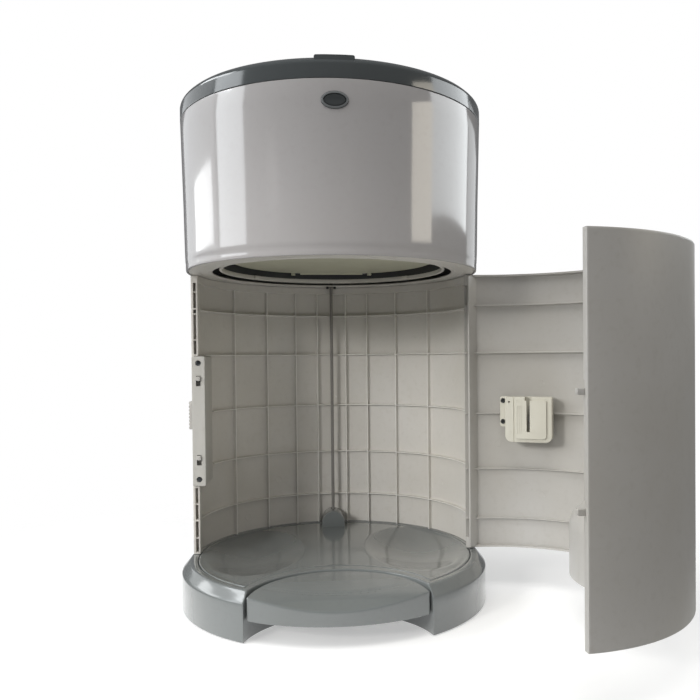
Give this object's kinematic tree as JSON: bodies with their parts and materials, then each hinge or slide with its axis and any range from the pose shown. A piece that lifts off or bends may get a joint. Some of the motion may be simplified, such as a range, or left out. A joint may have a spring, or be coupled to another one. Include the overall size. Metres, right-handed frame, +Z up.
{
  "type": "step-on nappy pail",
  "caption": "Round step-on nappy pail: grey hinged lid and pedal base, white drum, ribbed bag cabinet with a curved latching door, lift rod and bag cutter.",
  "frame": {"origin": "centre of the round base at floor level, under the drum's vertical axis", "axes": "+Z up along the drum's axis, front with the pedal towards -Y, door hinge on the +X side"},
  "size_m": [0.4973, 0.4924, 0.55],
  "materials": {
    "base_grey": "glossy moulded slate grey",
    "dark_plastic": "matt moulded dark grey",
    "rubber": "matt black rubber",
    "steel": "drawn bright steel",
    "cabinet_white": "satin moulded warm white",
    "door_white": "satin moulded warm white",
    "shell_white": "high gloss cool white",
    "cutter_cream": "satin moulded cream",
    "flap_ivory": "satin moulded ivory",
    "lid_grey": "glossy moulded slate grey",
    "button_grey": "satin moulded dark grey"
  },
  "bodies": {
    "housing": {"base_shell": "base_grey", "floor_pan": "base_grey", "bottom_plate": "dark_plastic", "foot_pad_1": "rubber", "foot_pad_2": "rubber", "foot_pad_3": "rubber", "foot_pad_4": "rubber", "centre_pad": "rubber", "pedal_axle": "steel", "cabinet_wall": "cabinet_white", "latch_housing": "cabinet_white", "latch_plate": "cabinet_white", "latch_screw_lower": "steel", "latch_screw_upper": "steel", "latch_spring": "steel", "door_pin_lower": "steel", "door_pin_upper": "steel", "upper_shell": "shell_white", "collar_plate": "cabinet_white", "refill_ring": "cabinet_white", "refill_floor": "cabinet_white", "refill_wall": "cabinet_white", "throat_tube": "flap_ivory", "funnel": "flap_ivory", "deck_ring": "cabinet_white", "front_flap_pin": "steel", "rear_flap_pin": "steel", "front_flap_spring": "steel", "rear_flap_spring": "steel", "hinge_bracket": "dark_plastic", "lid_hinge_pin": "steel", "button_bezel": "button_grey"},
    "pedal": {"pedal": "base_grey", "pedal_lever": "dark_plastic"},
    "rod": {"lift_rod": "steel", "rod_foot": "dark_plastic"},
    "latch": {"latch_slider": "cabinet_white"},
    "door": {"door_shell": "door_white", "door_catch": "cabinet_white", "cutter_housing": "cutter_cream", "cutter_cover": "cutter_cream", "cutter_blade": "steel", "cutter_screw_lower": "steel", "cutter_screw_upper": "steel"},
    "front_flap": {"front_flap": "flap_ivory"},
    "rear_flap": {"rear_flap": "flap_ivory"},
    "lid": {"lid_shell": "lid_grey", "lid_liner": "cabinet_white", "lid_seal": "rubber"},
    "button": {"lock_button": "button_grey", "button_spring": "steel"}
  },
  "joints": [
    {"name": "lid_hinge", "type": "hinge", "parent": "housing", "child": "lid", "pos_m": [0, 0.1585, 0.538], "axis": [-1, 0, 0], "range_deg": [0, 80]},
    {"name": "pedal_hinge", "type": "hinge", "parent": "housing", "child": "pedal", "pos_m": [0, -0.01, 0.026], "axis": [1, 0, 0], "range_deg": [0, 6.6]},
    {"name": "rod_slide", "type": "slide", "parent": "housing", "child": "rod", "axis": [0, 0, 1], "range_m": [0, 0.0183]},
    {"name": "door_hinge", "type": "hinge", "parent": "housing", "child": "door", "pos_m": [0.1562, -0.0045, 0.2], "axis": [0, 0, 1], "range_deg": [-95, 25]},
    {"name": "latch_slide", "type": "slide", "parent": "housing", "child": "latch", "axis": [0, 0, -1], "range_m": [0, 0.0055], "stiffness_N_per_m": 250, "springref_m": -0.006, "deforming": ["latch_spring"]},
    {"name": "front_flap_hinge", "type": "hinge", "parent": "housing", "child": "front_flap", "pos_m": [0, -0.106, 0.3817], "axis": [-1, 0, 0], "range_deg": [0, 60], "stiffness_Nm_per_rad": 0.06, "springref_deg": -68.75},
    {"name": "rear_flap_hinge", "type": "hinge", "parent": "housing", "child": "rear_flap", "pos_m": [0, 0.106, 0.3817], "axis": [1, 0, 0], "range_deg": [0, 60], "stiffness_Nm_per_rad": 0.06, "springref_deg": -68.75},
    {"name": "button_slide", "type": "slide", "parent": "housing", "child": "button", "axis": [0, 1, 0], "range_m": [0, 0.003], "stiffness_N_per_m": 400, "springref_m": -0.002}
  ],
  "couplings": [
    {"joint": "pedal_hinge", "follows": "lid_hinge", "ratio": 0.0825},
    {"joint": "rod_slide", "follows": "lid_hinge", "m_per_rad": 0.0131}
  ]
}
